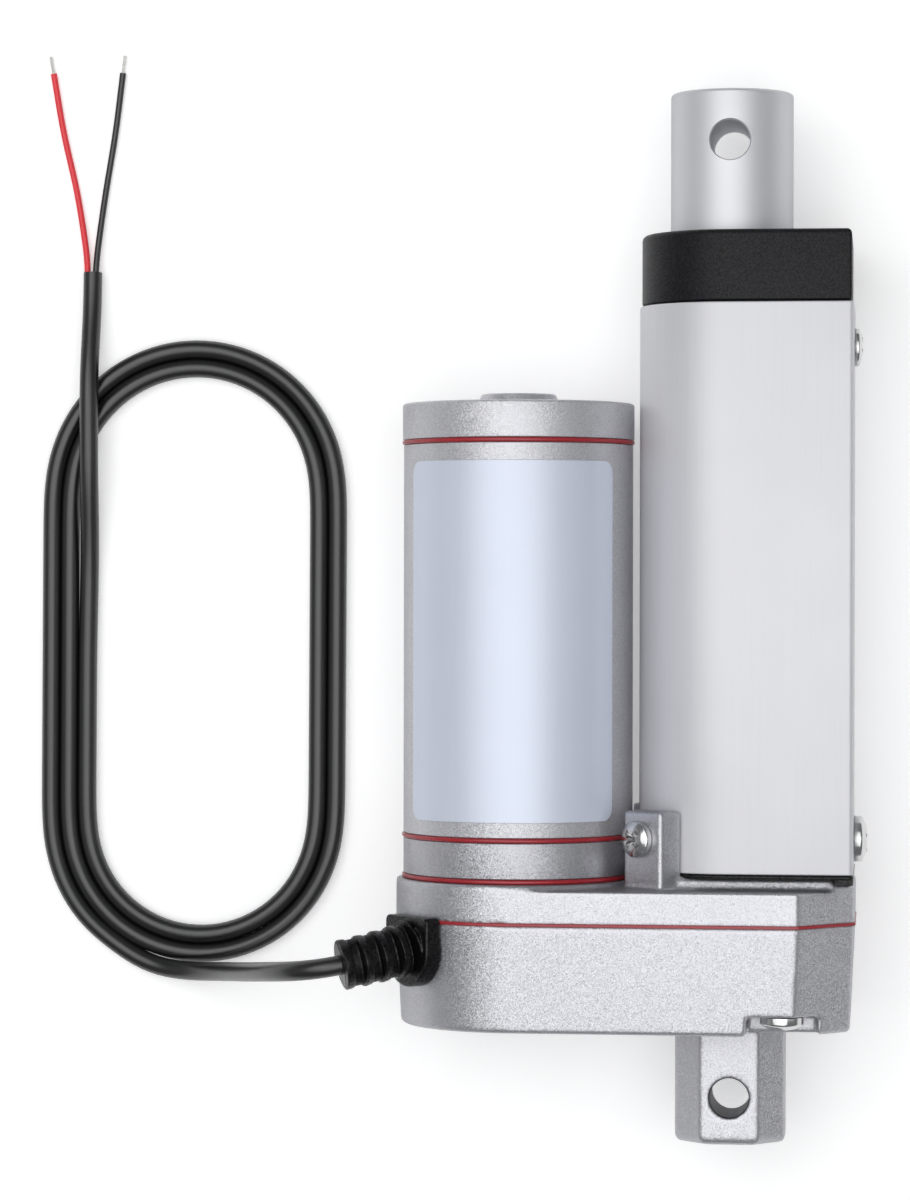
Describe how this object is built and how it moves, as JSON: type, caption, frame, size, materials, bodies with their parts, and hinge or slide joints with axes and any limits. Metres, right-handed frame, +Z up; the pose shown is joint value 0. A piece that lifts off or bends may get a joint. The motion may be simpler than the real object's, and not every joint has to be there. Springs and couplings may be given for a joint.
{
  "type": "linear actuator",
  "caption": "Electric linear actuator: a motor beside a D-section tube, a die-cast gearbox with a rear eye, a sliding rod with a pin hole, and a hank of two-core cord.",
  "frame": {"origin": "under the middle of the actuator's own box, without the cord, on the surface that it lies on", "axes": "+X from the motor to the tube, +Y the way the rod extends, +Z up from the surface it lies on"},
  "size_m": [0.1407, 0.1817, 0.0438],
  "materials": {
    "cast_silver": "silver paint with a fine metallic sparkle",
    "motor_silver": "satin silver paint",
    "anodised_tube": "matt anodised",
    "rod_alloy": "satin turned",
    "red_silicone": "satin",
    "black_rubber": "satin",
    "black_plastic": "fine grain",
    "cord_jacket": "satin",
    "red_wire": "satin",
    "tinned_copper": "bright",
    "label_foil": "satin foil",
    "zinc_plate": "bright zinc",
    "plain_steel": "machined",
    "bronze": "machined",
    "copper": "enamelled",
    "nylon": "moulded",
    "ferrite": "sintered",
    "carbon": "pressed",
    "circuit_board": "lacquered"
  },
  "bodies": {
    "body": {"gearbox_lower_housing": "cast_silver", "gearbox_upper_housing": "cast_silver", "gearbox_gasket": "red_silicone", "housing_screw_1": "zinc_plate", "housing_screw_2": "zinc_plate", "housing_screw_3": "zinc_plate", "housing_screw_4": "zinc_plate", "outer_tube": "anodised_tube", "tube_base_seal": "black_rubber", "front_cap": "black_plastic", "rod_wiper_seal": "black_rubber", "rod_guide_bush": "nylon", "cap_screw_right": "zinc_plate", "tube_screw_right": "zinc_plate", "lug_screw_front": "zinc_plate", "lug_screw_back": "zinc_plate", "bearing_outer_ring": "plain_steel", "bearing_ball_cage": "plain_steel", "lower_screw_bush": "bronze", "idler_pin": "plain_steel", "motor_flange_gasket": "red_silicone", "motor_flange": "motor_silver", "motor_front_gasket": "red_silicone", "motor_can": "motor_silver", "motor_cap_gasket": "red_silicone", "motor_rear_cap": "motor_silver", "motor_label": "label_foil", "motor_front_bush": "bronze", "motor_rear_bush": "bronze", "motor_tie_bolt_1": "zinc_plate", "motor_tie_bolt_2": "zinc_plate", "motor_magnet_left": "ferrite", "motor_magnet_right": "ferrite", "brush_plate": "nylon", "brush_left": "carbon", "brush_right": "carbon", "limit_switch_board": "circuit_board", "limit_switch_lower": "black_plastic", "limit_switch_upper": "black_plastic", "cable_gland": "black_rubber", "cord_lead": "cord_jacket", "cord_hank": "cord_jacket", "cord_tail": "cord_jacket", "red_wire": "red_wire", "black_wire": "cord_jacket", "red_wire_tip": "tinned_copper", "black_wire_tip": "tinned_copper"},
    "rotor": {"rotor_shaft": "plain_steel", "armature_core": "plain_steel", "armature_winding_front": "copper", "armature_winding_rear": "copper", "commutator": "copper", "motor_pinion": "plain_steel"},
    "idler": {"idler_gear": "plain_steel"},
    "screw": {"lead_screw": "plain_steel", "screw_gear": "plain_steel", "screw_retaining_ring": "plain_steel", "bearing_inner_ring": "plain_steel"},
    "rod": {"rod": "rod_alloy", "drive_nut": "bronze"}
  },
  "joints": [
    {"name": "motor_spin", "type": "hinge", "parent": "body", "child": "rotor", "pos_m": [-0.01852, 0, 0.02], "axis": [0, -1, 0], "range_deg": [0, 59999.9]},
    {"name": "idler_spin", "type": "hinge", "parent": "body", "child": "idler", "pos_m": [-0.00172, 0, 0.02], "axis": [0, -1, 0], "range_deg": [-20000, 0]},
    {"name": "screw_spin", "type": "hinge", "parent": "body", "child": "screw", "pos_m": [0.01648, 0, 0.02], "axis": [0, -1, 0], "range_deg": [0, 6000]},
    {"name": "rod_slide", "type": "slide", "parent": "body", "child": "rod", "axis": [0, 1, 0], "range_m": [0, 0.05]}
  ],
  "couplings": [
    {"joint": "idler_spin", "follows": "motor_spin", "ratio": -0.33333},
    {"joint": "screw_spin", "follows": "motor_spin", "ratio": 0.1},
    {"joint": "rod_slide", "follows": "motor_spin", "m_per_rad": 0.000047746}
  ]
}
